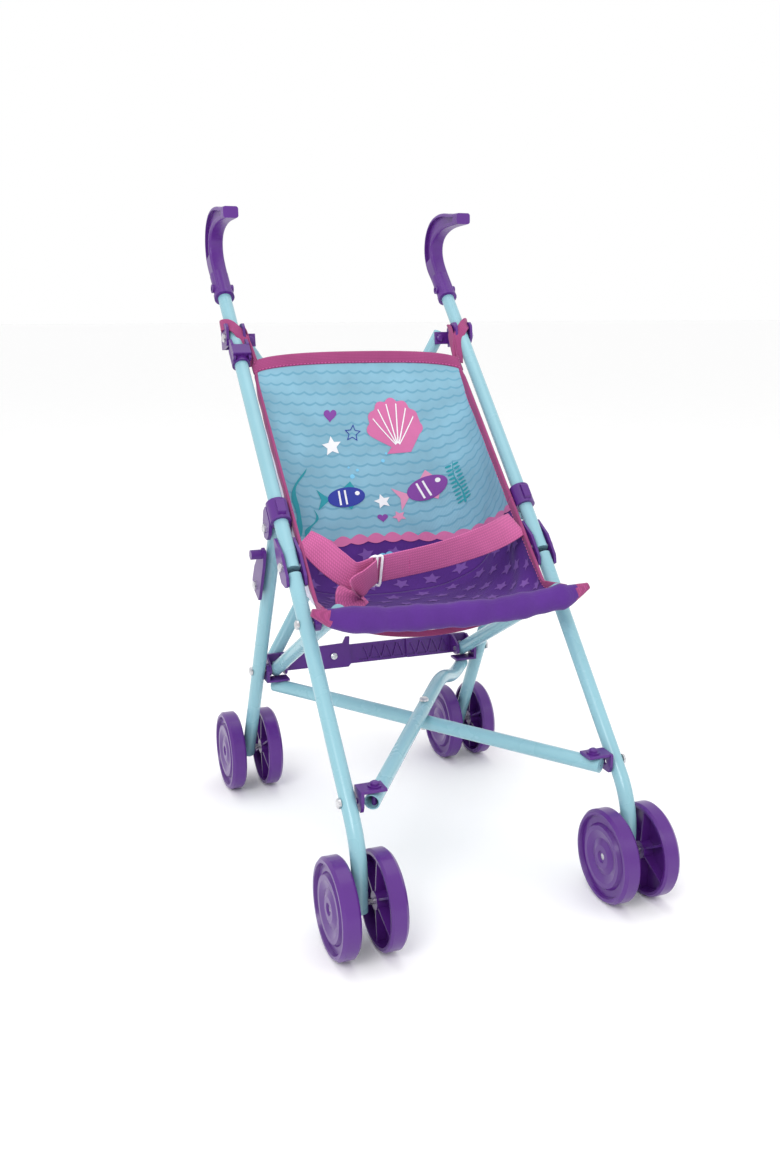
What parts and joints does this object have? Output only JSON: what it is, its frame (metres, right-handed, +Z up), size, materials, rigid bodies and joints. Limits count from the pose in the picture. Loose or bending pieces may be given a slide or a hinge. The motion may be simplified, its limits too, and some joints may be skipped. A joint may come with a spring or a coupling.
{
  "type": "doll stroller",
  "caption": "Folding doll umbrella stroller: round tube side frames with crossed tubes behind and below a fabric sling seat, double wheels, hooked hand grips and a side latch.",
  "frame": {"origin": "middle of the footprint at floor level", "axes": "+Z up, the front of the stroller faces -Y, +X is the pusher's left"},
  "size_m": [0.2804, 0.4587, 0.5573],
  "materials": {
    "painted_tube": "gloss paint",
    "fitting_plastic": "gloss",
    "grip_plastic": "gloss",
    "wheel_plastic": "gloss",
    "screw_steel": "zinc plated",
    "sling_fabric": "printed woven",
    "webbing": "woven webbing",
    "white_plastic": "gloss"
  },
  "bodies": {
    "rear_r": {"rear_leg_r": "painted_tube", "rear_screws_r": "screw_steel", "rear_axle_r": "screw_steel"},
    "handle_r": {"handle_tube_r": "painted_tube", "collar_r": "fitting_plastic", "grip_r": "grip_plastic", "handle_screws_r": "screw_steel", "fold_clip": "fitting_plastic"},
    "front_r": {"front_leg_r": "painted_tube", "front_channel_r": "fitting_plastic", "front_screws_r": "screw_steel", "rail_spacer_r": "fitting_plastic", "front_axle_r": "screw_steel"},
    "seat_rail_r": {"seat_rail_r": "painted_tube", "seat_cloth": "sling_fabric", "waist_belt": "webbing", "belt_ring": "white_plastic"},
    "rear_yoke_r": {"rear_yoke_r": "fitting_plastic", "rear_pin_r": "screw_steel"},
    "back_tube_1": {"back_tube_1": "painted_tube", "back_cross_screw": "screw_steel"},
    "back_tube_2": {"back_tube_2": "painted_tube"},
    "rear_yoke_l": {"rear_yoke_l": "fitting_plastic", "rear_pin_l": "screw_steel"},
    "rear_l": {"rear_leg_l": "painted_tube", "rear_screws_l": "screw_steel", "rear_axle_l": "screw_steel"},
    "handle_l": {"handle_tube_l": "painted_tube", "collar_l": "fitting_plastic", "grip_l": "grip_plastic", "handle_screws_l": "screw_steel"},
    "front_l": {"front_leg_l": "painted_tube", "front_channel_l": "fitting_plastic", "front_screws_l": "screw_steel", "rail_spacer_l": "fitting_plastic", "front_axle_l": "screw_steel"},
    "seat_rail_l": {"seat_rail_l": "painted_tube"},
    "top_yoke_r": {"top_yoke_r": "fitting_plastic", "back_cloth": "sling_fabric"},
    "top_yoke_l": {"top_yoke_l": "fitting_plastic"},
    "seat_bracket_r": {"seat_bracket_r": "fitting_plastic"},
    "seat_bracket_l": {"seat_bracket_l": "fitting_plastic"},
    "seat_tube_1": {"seat_tube_1": "painted_tube", "seat_cross_screw": "screw_steel"},
    "seat_tube_2": {"seat_tube_2": "painted_tube"},
    "front_bracket_r": {"front_bracket_r": "fitting_plastic"},
    "front_bracket_l": {"front_bracket_l": "fitting_plastic"},
    "strut_box": {"strut_box": "fitting_plastic", "strut_screws": "screw_steel"},
    "strut_truss": {"strut_truss": "fitting_plastic"},
    "latch_lever": {"latch_lever": "fitting_plastic"},
    "front_wheel_r_outer": {"front_wheel_r_outer": "wheel_plastic"},
    "front_wheel_r_inner": {"front_wheel_r_inner": "wheel_plastic"},
    "rear_wheel_r_outer": {"rear_wheel_r_outer": "wheel_plastic"},
    "rear_wheel_r_inner": {"rear_wheel_r_inner": "wheel_plastic"},
    "front_wheel_l_outer": {"front_wheel_l_outer": "wheel_plastic"},
    "front_wheel_l_inner": {"front_wheel_l_inner": "wheel_plastic"},
    "rear_wheel_l_outer": {"rear_wheel_l_outer": "wheel_plastic"},
    "rear_wheel_l_inner": {"rear_wheel_l_inner": "wheel_plastic"}
  },
  "joints": [
    {"name": "fold", "type": "hinge", "parent": "rear_r", "child": "handle_r", "pos_m": [-0.115, 0.017, 0.2838], "axis": [1, 0, 0], "range_deg": [0, 42], "deforming": ["back_cloth", "seat_cloth", "waist_belt", "belt_ring"]},
    {"name": "front_leg_r_turn", "type": "hinge", "parent": "handle_r", "child": "front_r", "pos_m": [-0.115, -0.0293, 0.2594], "axis": [1, 0, 0], "range_deg": [-91.8, 0]},
    {"name": "seat_rail_r_turn", "type": "hinge", "parent": "rear_r", "child": "seat_rail_r", "pos_m": [-0.097, 0.092, 0.1333], "axis": [1, 0, 0], "range_deg": [-6.41, 0]},
    {"name": "rear_yoke_r_turn", "type": "hinge", "parent": "rear_r", "child": "rear_yoke_r", "pos_m": [-0.097, 0.092, 0.1333], "axis": [1, 0, 0], "range_deg": [0, 23.29]},
    {"name": "back_tube_1_turn", "type": "hinge", "parent": "rear_yoke_r", "child": "back_tube_1", "pos_m": [-0.097, 0.12066, 0.13231], "axis": [0, 0.9848, -0.1737], "range_deg": [-22.92, 0]},
    {"name": "back_cross_turn", "type": "hinge", "parent": "back_tube_1", "child": "back_tube_2", "pos_m": [0, 0.14727, 0.28314], "axis": [0, 0.9848, -0.1737], "range_deg": [0, 45.84]},
    {"name": "rear_yoke_l_turn", "type": "hinge", "parent": "back_tube_2", "child": "rear_yoke_l", "pos_m": [0.097, 0.12066, 0.13231], "axis": [0, 0.9848, -0.1737], "range_deg": [-22.92, 0]},
    {"name": "rear_leg_l_turn", "type": "hinge", "parent": "rear_yoke_l", "child": "rear_l", "pos_m": [0.097, 0.092, 0.1333], "axis": [1, 0, 0], "range_deg": [-23.29, 0]},
    {"name": "handle_l_turn", "type": "hinge", "parent": "rear_l", "child": "handle_l", "pos_m": [0.115, 0.017, 0.2838], "axis": [1, 0, 0], "range_deg": [0, 42.04]},
    {"name": "front_leg_l_turn", "type": "hinge", "parent": "handle_l", "child": "front_l", "pos_m": [0.115, -0.0293, 0.2594], "axis": [1, 0, 0], "range_deg": [-91.8, 0]},
    {"name": "seat_rail_l_turn", "type": "hinge", "parent": "rear_l", "child": "seat_rail_l", "pos_m": [0.097, 0.092, 0.1333], "axis": [1, 0, 0], "range_deg": [-6.41, 0]},
    {"name": "top_yoke_r_turn", "type": "hinge", "parent": "back_tube_2", "child": "top_yoke_r", "pos_m": [-0.097, 0.17387, 0.43397], "axis": [0, 0.9848, -0.1737], "range_deg": [-22.92, 0]},
    {"name": "top_yoke_l_turn", "type": "hinge", "parent": "back_tube_1", "child": "top_yoke_l", "pos_m": [0.097, 0.17387, 0.43397], "axis": [0, 0.9848, -0.1737], "range_deg": [0, 22.92]},
    {"name": "seat_bracket_r_turn", "type": "hinge", "parent": "rear_r", "child": "seat_bracket_r", "pos_m": [-0.115, 0.092, 0.1333], "axis": [1, 0, 0], "range_deg": [-24.89, 0]},
    {"name": "seat_bracket_l_turn", "type": "hinge", "parent": "rear_l", "child": "seat_bracket_l", "pos_m": [0.115, 0.092, 0.1333], "axis": [1, 0, 0], "range_deg": [-24.89, 0]},
    {"name": "seat_tube_1_turn", "type": "hinge", "parent": "seat_bracket_r", "child": "seat_tube_1", "pos_m": [-0.094, 0.092, 0.1153], "axis": [0, -0.027, 0.9996], "range_deg": [-26.39, 0]},
    {"name": "seat_cross_turn", "type": "hinge", "parent": "seat_tube_1", "child": "seat_tube_2", "pos_m": [0, -0.03735, 0.1118], "axis": [0, -0.027, 0.9996], "range_deg": [0, 52.78]},
    {"name": "front_bracket_l_turn", "type": "hinge", "parent": "seat_tube_1", "child": "front_bracket_l", "pos_m": [0.094, -0.1667, 0.1083], "axis": [0, -0.027, 0.9996], "range_deg": [0, 26.39]},
    {"name": "front_bracket_r_turn", "type": "hinge", "parent": "seat_tube_2", "child": "front_bracket_r", "pos_m": [-0.094, -0.1667, 0.1083], "axis": [0, -0.027, 0.9996], "range_deg": [-26.39, 0]},
    {"name": "strut_box_turn", "type": "hinge", "parent": "rear_yoke_r", "child": "strut_box", "pos_m": [-0.097, 0.12066, 0.13231], "axis": [0, 0.9848, -0.1737], "range_deg": [-72.2, 0]},
    {"name": "strut_truss_turn", "type": "hinge", "parent": "rear_yoke_l", "child": "strut_truss", "pos_m": [0.097, 0.12066, 0.13231], "axis": [0, 0.9848, -0.1737], "range_deg": [0, 72.2]},
    {"name": "front_wheel_r_outer_spin", "type": "hinge", "parent": "front_r", "child": "front_wheel_r_outer", "pos_m": [-0.1332, -0.1916, 0.0382], "axis": [1, 0, 0], "continuous": true},
    {"name": "front_wheel_r_inner_spin", "type": "hinge", "parent": "front_r", "child": "front_wheel_r_inner", "pos_m": [-0.0968, -0.1916, 0.0382], "axis": [1, 0, 0], "continuous": true},
    {"name": "rear_wheel_r_outer_spin", "type": "hinge", "parent": "rear_r", "child": "rear_wheel_r_outer", "pos_m": [-0.1332, 0.1394, 0.0382], "axis": [1, 0, 0], "continuous": true},
    {"name": "rear_wheel_r_inner_spin", "type": "hinge", "parent": "rear_r", "child": "rear_wheel_r_inner", "pos_m": [-0.0968, 0.1394, 0.0382], "axis": [1, 0, 0], "continuous": true},
    {"name": "front_wheel_l_outer_spin", "type": "hinge", "parent": "front_l", "child": "front_wheel_l_outer", "pos_m": [0.1332, -0.1916, 0.0382], "axis": [1, 0, 0], "continuous": true},
    {"name": "front_wheel_l_inner_spin", "type": "hinge", "parent": "front_l", "child": "front_wheel_l_inner", "pos_m": [0.0968, -0.1916, 0.0382], "axis": [1, 0, 0], "continuous": true},
    {"name": "rear_wheel_l_outer_spin", "type": "hinge", "parent": "rear_l", "child": "rear_wheel_l_outer", "pos_m": [0.1332, 0.1394, 0.0382], "axis": [1, 0, 0], "continuous": true},
    {"name": "rear_wheel_l_inner_spin", "type": "hinge", "parent": "rear_l", "child": "rear_wheel_l_inner", "pos_m": [0.0968, 0.1394, 0.0382], "axis": [1, 0, 0], "continuous": true},
    {"name": "latch_turn", "type": "hinge", "parent": "rear_r", "child": "latch_lever", "pos_m": [-0.115, 0.04555, 0.22764], "axis": [-1, 0, 0], "range_deg": [0, 25]}
  ],
  "couplings": [
    {"joint": "front_leg_r_turn", "follows": "fold", "ratio": -2.1834},
    {"joint": "seat_rail_r_turn", "follows": "fold", "ratio": -0.15257},
    {"joint": "rear_yoke_r_turn", "follows": "fold", "ratio": 0.554},
    {"joint": "back_tube_1_turn", "follows": "fold", "ratio": -0.54521},
    {"joint": "back_cross_turn", "follows": "fold", "ratio": 1.0904},
    {"joint": "rear_yoke_l_turn", "follows": "fold", "ratio": -0.54521},
    {"joint": "rear_leg_l_turn", "follows": "fold", "ratio": -0.554},
    {"joint": "handle_l_turn", "follows": "fold", "ratio": 1},
    {"joint": "front_leg_l_turn", "follows": "fold", "ratio": -2.1834},
    {"joint": "seat_rail_l_turn", "follows": "fold", "ratio": -0.15257},
    {"joint": "top_yoke_r_turn", "follows": "fold", "ratio": -0.54521},
    {"joint": "top_yoke_l_turn", "follows": "fold", "ratio": 0.54521},
    {"joint": "seat_bracket_r_turn", "follows": "fold", "ratio": -0.59193},
    {"joint": "seat_bracket_l_turn", "follows": "fold", "ratio": -0.59193},
    {"joint": "seat_tube_1_turn", "follows": "fold", "ratio": -0.62771},
    {"joint": "seat_cross_turn", "follows": "fold", "ratio": 1.2554},
    {"joint": "front_bracket_l_turn", "follows": "fold", "ratio": 0.62771},
    {"joint": "front_bracket_r_turn", "follows": "fold", "ratio": -0.62771},
    {"joint": "strut_box_turn", "follows": "fold", "ratio": -1.7174},
    {"joint": "strut_truss_turn", "follows": "fold", "ratio": 1.7174}
  ]
}
